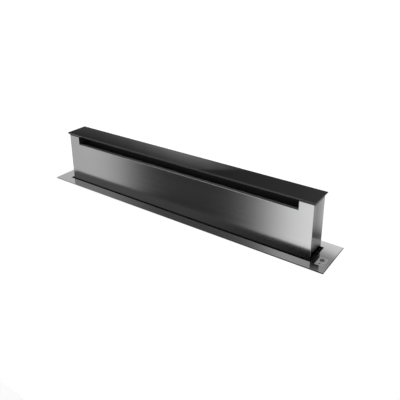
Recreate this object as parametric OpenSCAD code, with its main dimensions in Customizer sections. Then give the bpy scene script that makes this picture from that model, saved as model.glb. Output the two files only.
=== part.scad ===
// Downdraft vent for a worktop. A slim steel tower with a black glass cap rises out
// of a flange, draws air in through a long slot, and sends it down through grease
// filters to a blower that hangs under the worktop.
// X runs along the vent, Y goes to the back and Z is up. The origin is the centre
// of the flange, on the worktop's surface. The tower is drawn raised.

/* [Tower] */
// Length of the rising tower
tower_l = 807; // [760:1:1000]
// Depth of the tower, front to back
tower_d = 62; // [61:1:80]
// Height of the tower from the flange to the underside of the glass
tower_rise = 146; // [125:1:260]
// Length of the tower that stays below the worktop when it is raised
tower_tail = 60; // [57:1:90]
// Thickness of the tower's steel panels
panel_t = 1.2; // [0.8:0.1:1.6]

/* [Intake slot] */
// Steel left beside the slot at each end of the front panel
slot_margin = 37.5; // [22:0.5:90]
// Height of the slot under the glass
slot_h = 26; // [15:0.5:36]
// Depth of the recess behind the slot, from the front face
slot_depth = 36.5; // [31:0.5:40]
// Width of the lip that is turned in along the slot's lower edge
slot_lip = 11; // [4:0.5:14]

/* [Glass cap] */
// Thickness of the glass
cap_t = 6; // [4:0.5:9]
// Overhang of the glass past the ends of the tower
cap_over_x = 5.7; // [4.5:0.1:10]
// Overhang of the glass past the front and back of the tower
cap_over_y = 4; // [3.6:0.1:7]
// Height of the upright band along the glass's edge
cap_band = 1.4; // [0.8:0.1:3]
// Depth of the undercut below that band
cap_under = 3.4; // [1:0.1:3.5]
// Gap between the glass and the ends of the opening, tower lowered
cap_gap_x = 1; // [0.5:0.1:3]
// Gap between the glass and the long sides of the opening
cap_gap_y = 3.2; // [1:0.1:5]

/* [Worktop flange] */
// Flange width beyond each end of the opening
flange_margin_x = 39.8; // [39:0.1:70]
// Flange width beyond each long side of the opening
flange_margin_y = 25.8; // [20:0.1:50]
// Thickness of the flange sheet
flange_t = 1.5; // [1:0.1:3]
// Thickness of the foam gasket, pressed
gasket_t = 1; // [0.5:0.1:3]
// Width of the gasket strip
gasket_w = 6; // [4:0.5:7]
// Height of the lip turned down round the opening
lip_h = 12; // [9:1:18]
// Thickness of the worktop that the brackets clamp
worktop_t = 38; // [28:1:45]

/* [Chassis] */
// Thickness of the chassis sheet
sheet_t = 1.2; // [0.8:0.1:1.6]
// Free height in the chassis under the lowered racks
rack_drop_gap = 42; // [20:1:90]

/* [Lift] */
// Module of the rack and gear teeth
gear_m = 1.5; // [1.4:0.1:1.6]
// Teeth of the pinions and of the motor's gear
pinion_teeth = 18; // [17:1:19]
// Teeth of the driven gear
driven_teeth = 24; // [22:1:26]
// Radius of the drive shaft
shaft_r = 5; // [4:0.5:6]
// Width of the racks
rack_w = 10; // [8:0.5:12]

/* [Blower] */
// Scroll radius at its tongue
scroll_r0 = 100; // [96:1:108]
// Scroll radius at its outlet
scroll_r1 = 160; // [150:1:175]
// Radius of the impeller
impeller_r = 90; // [84:1:92]
// Width of the impeller
impeller_w = 100; // [80:1:130]
// Number of impeller blades
blades = 36; // [24:1:44]
// Outside radius of the duct collar
duct_r = 74.5; // [70:0.5:76]
// Length of the duct collar
collar_l = 75; // [60:1:100]

/* [Controls] */
// Radius of the power button
power_r = 5.6; // [4:0.1:6]
// Travel of the buttons
button_travel = 1.5; // [0.8:0.1:2]
// Length of the control box, along X
control_box_l = 180; // [170:1:220]
// Height of the control box
control_box_h = 140; // [120:1:160]
// Depth of the control box
control_box_d = 50; // [46:1:70]

/* [Hidden] */
$fn = 64;

// Shared clearances, and the overrun of cuts
cut = 1;
run_fit = 0.03;
hub_fit = 0.02;
seat_gap = 0.3;

// Flange, opening and glass, worked out from the tower
flange_z = gasket_t;
top_z = flange_z + flange_t;
glass_z = top_z + tower_rise;
cap_l = tower_l + 2 * cap_over_x;
cap_d = tower_d + 2 * cap_over_y;
opening_l = cap_l + 2 * cap_gap_x;
opening_d = cap_d + 2 * cap_gap_y;
flange_l = opening_l + 2 * flange_margin_x;
flange_d = opening_d + 2 * flange_margin_y;
flange_corner_r = 1.5;
gasket_inset = 2;
lip_t = 1.2;
cap_arris = 0.4;
seat_t = 3;
wiper_gap = 0.8;

// Travel of the tower, which ends with the glass flush with the flange
stroke = tower_rise + cap_t;
tail_z = -tower_tail;
low_tail_z = tail_z - stroke;

// Tower pieces
slot_l = tower_l - 2 * slot_margin;
slot_z = glass_z - slot_h;
front_y = -tower_d / 2;
back_y = tower_d / 2;
end_x = tower_l / 2;
end_fold = 14;
tray_t = 1.5;
tray_skirt = 15;
tray_fit = 0.3;
channel_t = 1;
channel_side_gap = 1;
channel_drop = 24;
channel_y = front_y + slot_depth;
channel_z = slot_z - channel_drop;
pocket_d = 17;
pocket_lip = 12;
frame_h = 10;
frame_front_w = 16;
frame_rear_w = 8;
frame_end_w = 14;
frame_rib_w = 8;
filter_t = 8;
filter_bar = 9;
filter_gap = 1;
filter_toe = 7;
filter_mesh_t = 1.2;
mesh_columns = 14;
mesh_rows = 5;
mesh_hole_share = 0.62;
rivet_r = 2.6;
rivet_h = 0.8;
rivet_shank_r = 1.6;
rivet_rows = 4;
shoe_w = 25.2;
shoe_h = 14;
shoe_clear = 0.4;
shoe_inset = 2;
frame_l = 2 * (end_x - end_fold);
filter_low_z = tail_z + frame_h + seat_gap;
filter_foot_y = front_y + panel_t + filter_toe;
filter_head_y = channel_y + pocket_d - channel_t - seat_gap - filter_t / 2;
filter_run = channel_z - seat_gap - filter_low_z;
filter_a = atan((filter_head_y - filter_foot_y) / filter_run);
filter_h = (filter_run - filter_t * sin(filter_a)) / cos(filter_a);
filter_l = slot_l / 2 - filter_gap;

// Chassis
in_x = opening_l / 2 + lip_t;
in_y = opening_d / 2 + lip_t;
out_x = in_x + sheet_t;
out_y = in_y + sheet_t;
rail_t = 1.2;
rail_mouth = 1.2;
rail_clear = 0.5;
rail_end = 3;
shoe_t = in_x - rail_t - rail_clear - end_x;
fold_w = 15;
base_fold = 15;
screw_r = 2;
screw_head_r = 3.8;
screw_head_h = 2;
screw_tail = 1.5;
screw_rows = 5;
screw_edge = 22;
bead_r = 5;
bead_rise = 1.6;
bead_count = 6;
bead_share = 0.55;

// Brackets
bracket_t = 2;
clamp_share = 0.73;
clamp_w = 30;
clamp_reach = 34;
clamp_leg = 34;
clamp_drop = 15;
clamp_x = in_x * clamp_share;
clamp_z = -worktop_t - clamp_drop;
jack_r = 3;
jack_pad_r = 8;
jack_pad_t = 3;
jack_tail = 9;
clamp_jack_y = out_y + clamp_reach - jack_pad_r - bracket_t;
foot_w = 50;
foot_leg = 80;
foot_reach = 33;
foot_drop = 20;
foot_hole_r = 2.75;
foot_hole_gap = 24;
foot_slot_l = 40;
foot_slot_w = 4.4;

// Lift: racks on the tower's tail, a shaft across the chassis and a geared motor
pressure_a = 20;
gear_slack = 0.12;
root_share = 1.25;
flank_steps = 4;
gear_w = 10;
hub_r = 9;
hub_l = 8;
gear_top_gap = 8.5;
rack_back = 12;
rack_grip = 40;
rack_spare_teeth = 3;
pinion_r = gear_m * pinion_teeth / 2;
driven_r = gear_m * driven_teeth / 2;
tooth_pitch = PI * gear_m;
shaft_y = pinion_r;
shaft_z = low_tail_z - gear_top_gap - driven_r - gear_m;
rack_low_z = shaft_z - rack_spare_teeth * tooth_pitch - root_share * gear_m;
rack_x = end_x - panel_t - rack_w;
rack_side = 1;
bush_r = 8;
bush_flange_r = 11;
bush_flange_t = 2.5;
drive_inset = 60;
driven_x = end_x - drive_inset;
motor_side = 21.5;
motor_y = shaft_y - motor_side;
motor_z = shaft_z - sqrt(pow(driven_r + pinion_r, 2) - pow(motor_side, 2));
mesh_a = atan2(motor_z - shaft_z, motor_y - shaft_y);
gear_side_gap = 2.5;
mount_t = 2.5;
mount_x = driven_x - gear_side_gap - mount_t;
mount_edge = 22;
mount_top = 12;
mount_fold = 25;
shaft_hole_r = 8;
gearbox_r = 18.5;
gearbox_l = 46;
gearbox_boss_r = 6;
gearbox_bore_l = 14;
output_r = 3;
lift_motor_r = 16.5;
lift_motor_l = 57;
lift_motor_cap_r = 8;
lift_motor_cap_l = 4;
sensor_l = 24;
sensor_t = 6.5;
sensor_h = 12;
sensor_inset = 210;
sensor_drop = 14;

// Floor of the chassis
chassis_z = rack_low_z - stroke - rack_drop_gap;
chassis_h = -chassis_z;
foot_z = chassis_z - foot_drop;

// Blower, hung on the front of the chassis; its axis runs along Y
blower_inset = 352.6;
blower_x = blower_inset - out_x;
blower_rise = 10;
blower_z = chassis_z + scroll_r1 + blower_rise;
tongue_a = 200;
outlet_a = -90;
scroll_steps = 48;
scroll_flange = 9;
outlet_l = 155;
tongue_h = scroll_r0 * sin(tongue_a - 180);
throat_r = 80;
eye_r = 76;
throat_lip = 8;
throat_l = 12;
throat_nose = 2.8;
throat_t = 1;
ring_flange = 12;
impeller_gap = 14;
impeller_ring_t = 2;
blade_t = 0.8;
blade_edge = 0.5;
blade_sweep = 7;
blade_steps = 4;
fan_hub_r = 12;
fan_hub_l = 20;
fan_shaft_r = 4;
fan_shaft_spare = 5;
fan_shaft_deep = 28;
can_r = 46;
can_in = 26;
can_out = 38;
can_gap = 0.3;
can_flange_r = 57;
can_flange_t = 2;
can_bolt_r = 51.5;
fan_can_gap = 6.8;
fan_z = sheet_t + impeller_gap;
can_z = fan_z + impeller_w + fan_can_gap;
scroll_w = can_z + can_in;
can_slots = 12;
can_slot_r = 30;
can_slot_w = 5;
can_slot_l = 18;
can_slot_deep = 4;
cover_screw_as = [175, 130, 85, 40, -5, -50];
transition_l = 60;
duct_shift = 8;
duct_t = 1.2;
collar_flange_w = 6;
collar_flange_t = 1.2;
bead_at = 10;
collar_bead = 1.5;
duct_clear = 1;
duct_y = -out_y - max((sheet_t + scroll_w) / 2 + duct_shift, duct_r + collar_flange_w + duct_clear);
duct_z = blower_z - (scroll_r1 + tongue_h) / 2;
transition_x = blower_x - outlet_l;
collar_x = transition_x - transition_l;
hull_fn = 32;

// Backdraft damper: two half discs on one upright pin across the collar
damper_back = 16;
damper_x = collar_x - damper_back;
damper_pin_r = 2;
damper_run = 0.05;
knuckle_r = 4;
knuckle_gap = 0.4;
knuckle_l = 16;
knuckle_pairs = 3;
knuckle_step = knuckle_l + knuckle_gap;
flap_t = 1.2;
flap_gap = 1.2;
flap_start = 4.8;
flap_r = duct_r - duct_t - flap_gap;

// Control plate on the flange's right-hand margin, with its switches below
plate_inset = 7.8;
plate_l = 22;
plate_w = 33;
plate_t = 0.6;
plate_y = -22;
plate_x = opening_l / 2 + plate_inset + plate_l / 2;
plate_z = top_z + plate_t;
bezel_w = 1.7;
bezel_h = 0.35;
button_gap = 0.25;
button_proud = 0.8;
button_collar = 1;
button_collar_t = 1.9;
button_stem_r = 1.8;
button_stem_l = 9;
power_at = [-0.8, 5];
speed_at = [5.7, -6.4];
lens_at = [-1.6, -10.3];
speed_r = 2.6;
lens_r = 2;
lens_proud = 0.2;
switch_l = 24;
switch_w = 34;
switch_h = 17;

// Control box on the front of the chassis
control_box_inset = 82.6;
box_x = out_x - control_box_inset - control_box_l;
box_top = -110;
box_wall = 2;
box_lid_t = 2;
box_post_r = 4.5;
board_margin = 8;
board_t = 1.6;
board_stand = 6;
stand_r = 3;
board_parts_shares = [[0.2, 0.75], [0.55, 0.8], [0.72, 0.8], [0.89, 0.8]];
transformer_size = [34, 24, 28];
relay_size = [18, 15, 20];
capacitor_r = 11;
capacitor_l = 60;
capacitor_share = 0.42;
terminal_size = [110, 12, 10];
gland_inset = 34;
gland_thread_r = 8;
gland_nut_r = 12;
gland_nut_t = 5;
gland_body_l = 16;
gland_hex_t = 8;
gland_bore_r = 4.5;
gland_out = box_top - control_box_h;

// Leads between the control box and what it switches
lead_r = 2.5;
lead_bend = 10;
lead_y = -out_y - control_box_d / 2;
switch_lead_drop = 30;
switch_lead_z = box_top - switch_lead_drop;
blower_lead_drop = 70;
blower_lead_z = box_top - blower_lead_drop;
blower_lead_out = 12;
blower_lead_y = -out_y - scroll_w - blower_lead_out;
blower_lead_seat = 3;
blower_lead_side = 30;
blower_lead_x = box_x - blower_lead_side;
lift_lead_r = 2;
lift_lead_bend = 5;
lift_lead_out = 14;
lift_lead_x = mount_x - gearbox_l - lift_motor_l - lift_lead_out;
lift_lead_rise = 10;
lift_lead_z = gland_out + lift_lead_rise;
lift_lead_in = 13;
lift_lead_y = -out_y - box_wall - lift_lead_in;

// A box centred on X and Y, standing on z
module slab(l, d, h, z = 0) {
    translate([-l / 2, -d / 2, z]) cube([l, d, h]);
}

// A flat ring with a centred rectangular hole
module slab_ring(l, d, hole_l, hole_d, h, z = 0) {
    difference() {
        slab(l, d, h, z);
        slab(hole_l, hole_d, h + 2 * cut, z - cut);
    }
}

// A slab with rounded corners
module round_slab(l, d, r, h, z = 0) {
    slab(l - 2 * r, d, h, z);
    slab(l, d - 2 * r, h, z);
    for (x = [-1, 1], y = [-1, 1])
        translate([x * (l / 2 - r), y * (d / 2 - r), z]) cylinder(r = r, h = h);
}

// Children at both ends of the vent
module at_both_ends() {
    children();
    mirror([1, 0, 0]) children();
}

// Turns a drawing so that its X is the vent's Y, its Y is up and its Z is X
module along_x() {
    rotate([90, 0, 90]) children();
}

// Turns a drawing so that it is seen from the front and grows towards the front
module along_front() {
    rotate([90, 0, 0]) children();
}

// Pan-head screw, head up, seated on z = 0
module screw(shank) {
    cylinder(r = screw_head_r, h = screw_head_h);
    translate([0, 0, -shank]) cylinder(r = screw_r, h = shank + screw_head_h);
}

// Flange

module button_holes(gap, top, bottom) {
    translate([plate_x, plate_y, bottom]) {
        translate(power_at) cylinder(r = power_r + gap, h = top - bottom);
        translate(speed_at) cylinder(r = speed_r + gap, h = top - bottom);
        translate(lens_at) cylinder(r = lens_r + gap, h = top - bottom);
    }
}

module counter_flange() {
    color("silver") {
        difference() {
            round_slab(flange_l, flange_d, flange_corner_r, flange_t, flange_z);
            slab(opening_l, opening_d, flange_t + 2 * cut, flange_z - cut);
            button_holes(button_gap, top_z + cut, flange_z - cut);
        }
        slab_ring(
            opening_l + 2 * lip_t, opening_d + 2 * lip_t,
            opening_l, opening_d, lip_h, flange_z - lip_h
        );
    }
}

module flange_gasket() {
    outer_l = flange_l - 2 * gasket_inset;
    outer_d = flange_d - 2 * gasket_inset;
    color("black")
    slab_ring(outer_l, outer_d, outer_l - 2 * gasket_w, outer_d - 2 * gasket_w, gasket_t);
}

// Rubber ledge inside the opening: the lowered glass lies on it
module cap_seat() {
    color("black")
    slab_ring(
        opening_l, opening_d, tower_l + 2 * wiper_gap, tower_d + 2 * wiper_gap,
        seat_t, top_z - cap_t - seat_gap - seat_t
    );
}

// Tower

module front_panel() {
    color("silver") {
        difference() {
            translate([-end_x, front_y, tail_z]) cube([tower_l, panel_t, glass_z - tail_z]);
            translate([-slot_l / 2, front_y - cut, slot_z])
                cube([slot_l, panel_t + 2 * cut, slot_h + cut]);
        }
        translate([-slot_l / 2, front_y, slot_z - panel_t]) cube([slot_l, slot_lip, panel_t]);
    }
}

// Places a child on each rivet of the rear panel, pointing to the back
module at_rivets() {
    step = (glass_z - tail_z - 2 * end_fold) / (rivet_rows - 1);
    for (row = [0 : rivet_rows - 1], side = [-1, 1])
        translate([side * (end_x - end_fold / 2), back_y, tail_z + end_fold + row * step])
            rotate([-90, 0, 0]) children();
}

module rear_panel() {
    color("silver")
    difference() {
        translate([-end_x, back_y - panel_t, tail_z]) cube([tower_l, panel_t, glass_z - tail_z]);
        at_rivets() translate([0, 0, -panel_t - cut]) cylinder(r = rivet_shank_r, h = panel_t + 2 * cut);
    }
}

module tower_rivets() {
    color("gray")
    at_rivets() {
        cylinder(r = rivet_r, h = rivet_h);
        translate([0, 0, -2 * panel_t]) cylinder(r = rivet_shank_r, h = 2 * panel_t + rivet_h);
    }
}

// Right-hand end panel: a web with a fold behind the front and the rear panel
module end_panel() {
    inner_d = tower_d - 2 * panel_t;
    difference() {
        translate([end_x - end_fold, -inner_d / 2, tail_z])
            cube([end_fold, inner_d, glass_z - tail_z]);
        translate([end_x - end_fold - cut, panel_t - inner_d / 2, tail_z - cut])
            cube([end_fold - panel_t + cut, inner_d - 2 * panel_t, glass_z - tail_z + 2 * cut]);
        at_rivets() translate([0, 0, -2 * panel_t - cut])
            cylinder(r = rivet_shank_r, h = 2 * panel_t + cut);
    }
}

module end_panel_right() {
    color("silver") end_panel();
}

module end_panel_left() {
    color("silver") mirror([1, 0, 0]) end_panel();
}

// Glass plate with an upright band, an undercut below it and a fine arris on top
module cap_profile(l) {
    polygon([
        [-l / 2 + cap_arris, cap_t],
        [-l / 2, cap_t - cap_arris],
        [-l / 2, cap_t - cap_band],
        [-l / 2 + cap_under, 0],
        [l / 2 - cap_under, 0],
        [l / 2, cap_t - cap_band],
        [l / 2, cap_t - cap_arris],
        [l / 2 - cap_arris, cap_t]
    ]);
}

module glass_cap() {
    color([0.08, 0.08, 0.09])
    translate([0, 0, glass_z])
    intersection() {
        translate([0, cap_d / 2, 0]) along_front() linear_extrude(cap_d) cap_profile(cap_l);
        translate([-cap_l / 2, 0, 0]) along_x() linear_extrude(cap_l) cap_profile(cap_d);
    }
}

// Steel tray under the glass, with a skirt at each end
module cap_tray() {
    tray_l = tower_l - 2 * (panel_t + tray_fit);
    tray_d = tower_d - 4 * panel_t - 2 * tray_fit;
    color("dimgray") {
        slab(tray_l, tray_d, tray_t, glass_z - tray_t);
        at_both_ends()
            translate([tray_l / 2 - tray_t, -tray_d / 2, glass_z - tray_skirt])
                cube([tray_t, tray_d, tray_skirt]);
    }
}

// Black channel behind the slot; its back is folded into a pocket for the filters
module intake_channel() {
    inside_l = slot_l + 2 * channel_side_gap;
    start_y = front_y + panel_t;
    top = glass_z - tray_t;
    color([0.05, 0.05, 0.05]) {
        difference() {
            translate([-inside_l / 2 - channel_t, start_y, channel_z])
                cube([inside_l + 2 * channel_t, channel_y + channel_t - start_y, top - channel_z]);
            translate([-inside_l / 2, start_y - cut, channel_z - cut])
                cube([inside_l, channel_y - start_y + cut, top - channel_z + 2 * cut]);
        }
        translate([-inside_l / 2, channel_y, channel_z])
            cube([inside_l, pocket_d, channel_t]);
        translate([-inside_l / 2, channel_y + pocket_d - channel_t, channel_z - pocket_lip])
            cube([inside_l, channel_t, pocket_lip + channel_t]);
    }
}

// Grease filter, leaning from the base frame's front bar back into the pocket
module grease_filter() {
    mesh_l = filter_l - 2 * filter_bar;
    mesh_h = filter_h - 2 * filter_bar;
    pitch_x = mesh_l / mesh_columns;
    pitch_z = mesh_h / mesh_rows;
    translate([filter_gap, filter_foot_y, filter_low_z])
    rotate([-filter_a, 0, 0])
    translate([0, -filter_t / 2, filter_t / 2 * sin(filter_a)]) {
        difference() {
            cube([filter_l, filter_t, filter_h]);
            translate([filter_bar, -cut, filter_bar]) cube([mesh_l, filter_t + 2 * cut, mesh_h]);
        }
        translate([filter_bar, (filter_t + filter_mesh_t) / 2, filter_bar])
        along_front()
        linear_extrude(filter_mesh_t)
        difference() {
            square([mesh_l, mesh_h]);
            for (i = [0 : mesh_columns - 1], j = [0 : mesh_rows - 1])
                translate([(i + 0.5) * pitch_x, (j + 0.5) * pitch_z])
                    square([pitch_x, pitch_z] * mesh_hole_share, center = true);
        }
    }
}

module grease_filter_right() {
    color("gainsboro") grease_filter();
}

module grease_filter_left() {
    color("gainsboro") mirror([1, 0, 0]) grease_filter();
}

// Frame that joins the panels at the bottom of the tower
module tower_base_frame() {
    inner_d = tower_d - 2 * panel_t;
    color("gray")
    difference() {
        slab(frame_l, inner_d, frame_h, tail_z);
        for (side = [-1, 1])
            translate([
                side > 0 ? frame_rib_w / 2 : frame_end_w - frame_l / 2,
                frame_front_w - inner_d / 2,
                tail_z - cut
            ])
            cube([
                (frame_l - frame_rib_w) / 2 - frame_end_w,
                inner_d - frame_front_w - frame_rear_w,
                frame_h + 2 * cut
            ]);
    }
}

// Nylon shoes on the tower's ends, two a side, that run in the guide rails
module guide_shoes() {
    color("ivory")
    at_both_ends()
    for (z = [tail_z + shoe_inset, tail_z + shoe_inset + shoe_h + shoe_h / 2])
        translate([end_x, -shoe_w / 2, z]) cube([shoe_t, shoe_w, shoe_h]);
}

// Gears and racks

function inv_deg(a) = tan(a) * 180 / PI - a;

// Half the angle that a tooth fills at radius r
function tooth_half(r, rp, rb, teeth) =
    90 / teeth - gear_slack / rp * 180 / PI + inv_deg(pressure_a)
    - inv_deg(r > rb ? acos(rb / r) : 0);

function polar(r, a) = [r * cos(a), r * sin(a)];

// Involute gear outline with a tooth on the X axis
module gear_outline(teeth) {
    rp = gear_m * teeth / 2;
    rb = rp * cos(pressure_a);
    ra = rp + gear_m;
    rf = rp - root_share * gear_m;
    start = max(rf, rb);
    radii = concat(rf < rb ? [rf] : [], [for (i = [0 : flank_steps]) start + (ra - start) * i / flank_steps]);
    last = len(radii) - 1;
    polygon([
        for (k = [0 : teeth - 1], side = [-1, 1], i = [0 : last])
            let(r = side < 0 ? radii[i] : radii[last - i])
            polar(r, 360 * k / teeth + side * tooth_half(r, rp, rb, teeth))
    ]);
}

// Toothed bar in the YZ plane, teeth to the back, a gap level with the shaft
module rack_outline() {
    tip = tooth_pitch / 4 - gear_slack - gear_m * tan(pressure_a);
    foot = tooth_pitch / 4 - gear_slack + root_share * gear_m * tan(pressure_a);
    root_y = -root_share * gear_m;
    up_teeth = ceil(stroke / tooth_pitch) + rack_spare_teeth;
    polygon(concat(
        [[-rack_back, -rack_grip / 2 + tail_z + rack_grip], [-rack_back, rack_low_z], [root_y, rack_low_z]],
        [
            for (k = [-rack_spare_teeth : up_teeth - 1])
                let(z = shaft_z + (k + 0.5) * tooth_pitch)
                each [[root_y, z - foot], [gear_m, z - tip], [gear_m, z + tip], [root_y, z + foot]]
        ],
        [[root_y, -rack_grip / 2 + tail_z + rack_grip]]
    ));
}

module rack_right() {
    color("dimgray") translate([rack_x, 0, 0]) along_x() linear_extrude(rack_w) rack_outline();
}

module rack_left() {
    color("dimgray") mirror([1, 0, 0])
        translate([rack_x, 0, 0]) along_x() linear_extrude(rack_w) rack_outline();
}

module drive_shaft() {
    color("lightsteelblue")
    translate([-out_x - screw_tail, shaft_y, shaft_z]) along_x()
        cylinder(r = shaft_r, h = 2 * (out_x + screw_tail));
}

// A flanged plain bush in each end plate
module shaft_bearings() {
    color("goldenrod")
    at_both_ends()
    translate([in_x - bush_flange_t, shaft_y, shaft_z]) along_x()
    difference() {
        union() {
            cylinder(r = bush_flange_r, h = bush_flange_t);
            cylinder(r = bush_r, h = bush_flange_t + sheet_t + screw_tail / 2);
        }
        translate([0, 0, -cut])
            cylinder(r = shaft_r + run_fit, h = bush_flange_t + sheet_t + screw_tail + 2 * cut);
    }
}

// Gear with a hub on its inner side, bored for a shaft
module bored_gear(teeth, w, bore_r, boss_r, boss_l) {
    difference() {
        union() {
            linear_extrude(w) gear_outline(teeth);
            translate([0, 0, -boss_l]) cylinder(r = boss_r, h = boss_l + w / 2);
        }
        translate([0, 0, -boss_l - cut]) cylinder(r = bore_r, h = boss_l + w + 2 * cut);
    }
}

// The pinions carry a tooth towards the rack, at 180 degrees
module rack_pinion() {
    translate([rack_x - rack_side, shaft_y, shaft_z]) along_x()
        rotate(180) bored_gear(pinion_teeth, rack_w + 2 * rack_side, shaft_r + hub_fit, hub_r, hub_l);
}

module rack_pinion_right() {
    color("darkgray") rack_pinion();
}

module rack_pinion_left() {
    color("darkgray") mirror([1, 0, 0]) rack_pinion();
}

module driven_gear() {
    color("ivory")
    translate([driven_x + gear_w, shaft_y, shaft_z]) along_x() mirror([0, 0, 1])
        rotate(mesh_a) bored_gear(driven_teeth, gear_w, shaft_r + hub_fit, hub_r, hub_l);
}

module motor_gear() {
    color("darkgray")
    translate([driven_x, motor_y, motor_z]) along_x()
        rotate(mesh_a + 180 + 180 / pinion_teeth)
        difference() {
            linear_extrude(gear_w) gear_outline(pinion_teeth);
            translate([0, 0, -cut]) cylinder(r = output_r + hub_fit, h = gear_w + 2 * cut);
        }
}

module gearbox_shaft() {
    start = mount_x - gearbox_bore_l + output_r / 2;
    end = driven_x + gear_w + output_r / 2;
    color("lightsteelblue")
    translate([start, motor_y, motor_z]) along_x() cylinder(r = output_r, h = end - start);
}

module lift_gearbox() {
    color("slategray")
    translate([mount_x, motor_y, motor_z]) along_x()
    difference() {
        union() {
            translate([0, 0, -gearbox_l]) cylinder(r = gearbox_r, h = gearbox_l);
            cylinder(r = gearbox_boss_r, h = mount_t);
        }
        translate([0, 0, -gearbox_bore_l])
            cylinder(r = output_r + run_fit, h = gearbox_bore_l + mount_t + cut);
    }
}

module lift_motor() {
    color("silver")
    translate([mount_x - gearbox_l, motor_y, motor_z]) along_x() mirror([0, 0, 1]) {
        cylinder(r = lift_motor_r, h = lift_motor_l);
        translate([0, 0, lift_motor_l]) cylinder(r = lift_motor_cap_r, h = lift_motor_cap_l);
    }
}

// Bracket that carries the gearbox off the back of the chassis
module motor_bracket() {
    low_z = motor_z - mount_edge;
    high_z = shaft_z + mount_top;
    front = motor_y - mount_edge;
    color("gainsboro") {
        difference() {
            translate([mount_x, front, low_z]) cube([mount_t, in_y - front, high_z - low_z]);
            translate([mount_x - cut, shaft_y, shaft_z]) along_x()
                cylinder(r = shaft_hole_r, h = mount_t + 2 * cut);
            translate([mount_x - cut, motor_y, motor_z]) along_x()
                cylinder(r = gearbox_boss_r, h = mount_t + 2 * cut);
        }
        translate([mount_x - mount_fold, in_y - mount_t, low_z])
            cube([mount_fold, mount_t, high_z - low_z]);
    }
}

// Reed sensors that read the tower's two end positions
module position_sensors() {
    color("black")
    for (z = [tail_z + sensor_drop, low_tail_z + sensor_drop])
        translate([in_x - sensor_inset, in_y - sensor_t, z]) cube([sensor_l, sensor_t, sensor_h]);
}

// Chassis

// Screws along the upright edges of the chassis, pointing out of the front and back
module at_edge_screws() {
    step = (chassis_h - 2 * screw_edge) / (screw_rows - 1);
    for (row = [0 : screw_rows - 1], side = [-1, 1])
        translate([side * (in_x - fold_w / 2), 0, chassis_z + screw_edge + row * step]) {
            translate([0, -out_y, 0]) rotate([90, 0, 0]) children();
            translate([0, out_y, 0]) rotate([-90, 0, 0]) children();
        }
}

// Screws through the slots of the foot brackets, pointing out of the ends
module at_foot_screws() {
    for (side = [-1, 1], z = [-1, 1])
        translate([
            side * (out_x + bracket_t), 0,
            chassis_z - foot_drop + foot_leg - foot_slot_l / 2 - foot_slot_w + z * foot_slot_l / 4
        ])
        rotate([0, side * 90, 0]) children();
}

// Screws of the control box's lid, pointing to the front
module at_lid_screws() {
    for (x = [box_x + box_post_r + box_wall / 2, box_x + control_box_l - box_post_r - box_wall / 2],
         z = [box_top - box_post_r - box_wall / 2, gland_out + box_post_r + box_wall / 2])
        translate([x, -out_y - control_box_d - box_lid_t, z]) rotate([90, 0, 0]) children();
}

// Pan-head screws of the chassis, the feet, the control box and the blower
module housing_screws() {
    color("gray") {
        at_edge_screws() screw(2 * sheet_t + screw_tail);
        at_foot_screws() screw(bracket_t + sheet_t + screw_tail);
        at_lid_screws() screw(box_lid_t + 2 * screw_tail);
        at_blower() {
            at_cover_screws() translate([0, 0, scroll_w + sheet_t]) screw(2 * sheet_t + screw_tail);
            at_can_screws() translate([0, 0, scroll_w + sheet_t + can_flange_t])
                screw(can_flange_t + sheet_t + screw_tail);
        }
    }
}

module edge_screw_holes() {
    at_edge_screws() translate([0, 0, -2 * sheet_t - cut])
        cylinder(r = screw_r, h = 2 * sheet_t + 2 * cut);
}

// Hole for the lift motor's lead, through the chassis front and the control box
module lift_lead_hole() {
    translate([lift_lead_x, -in_y + cut, lift_lead_z]) along_front()
        cylinder(r = lift_lead_r + seat_gap, h = sheet_t + box_wall + 2 * cut);
}

// Front of the chassis, with the round inlet to the blower
module chassis_front() {
    color("lightgray")
    difference() {
        translate([-in_x, -out_y, chassis_z]) cube([2 * in_x, sheet_t, chassis_h]);
        translate([blower_x, -in_y + cut, blower_z]) along_front()
            cylinder(r = throat_r, h = sheet_t + 2 * cut);
        lift_lead_hole();
        edge_screw_holes();
    }
}

// Back of the chassis, stiffened by upright beads
module chassis_back() {
    bead_step = 2 * in_x / (bead_count + 1);
    bead_h = chassis_h * bead_share;
    bead_y = out_y + bead_rise - bead_r;
    color("lightgray")
    difference() {
        union() {
            translate([-in_x, in_y, chassis_z]) cube([2 * in_x, sheet_t, chassis_h]);
            intersection() {
                for (i = [1 : bead_count])
                    translate([-in_x + i * bead_step, bead_y, chassis_z + (chassis_h - bead_h) / 2])
                        cylinder(r = bead_r, h = bead_h);
                translate([-in_x, in_y + sheet_t / 2, chassis_z]) cube([2 * in_x, bead_r, chassis_h]);
            }
        }
        edge_screw_holes();
    }
}

// Right-hand end plate: a web with a fold behind the front and the back
module chassis_end() {
    difference() {
        union() {
            translate([in_x, -out_y, chassis_z]) cube([sheet_t, 2 * out_y, chassis_h]);
            for (y = [-in_y, in_y - sheet_t])
                translate([in_x - fold_w, y, chassis_z])
                    cube([fold_w, sheet_t, chassis_h - lip_h + flange_z - cut]);
        }
        translate([in_x - cut, shaft_y, shaft_z]) along_x() cylinder(r = bush_r, h = sheet_t + 2 * cut);
        edge_screw_holes();
        at_foot_screws() translate([0, 0, -bracket_t - sheet_t - cut])
            cylinder(r = screw_r, h = bracket_t + sheet_t + 2 * cut);
    }
}

module chassis_end_right() {
    color("lightgray") chassis_end();
}

module chassis_end_left() {
    color("lightgray") mirror([1, 0, 0]) chassis_end();
}

// Floor of the chassis, a shallow tray between the end folds
module chassis_base() {
    base_l = 2 * (in_x - fold_w - seat_gap);
    color("lightgray")
    difference() {
        slab(base_l, 2 * in_y, base_fold, chassis_z);
        slab(base_l + 2 * cut, 2 * (in_y - sheet_t), base_fold + cut, chassis_z + sheet_t);
    }
}

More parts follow.
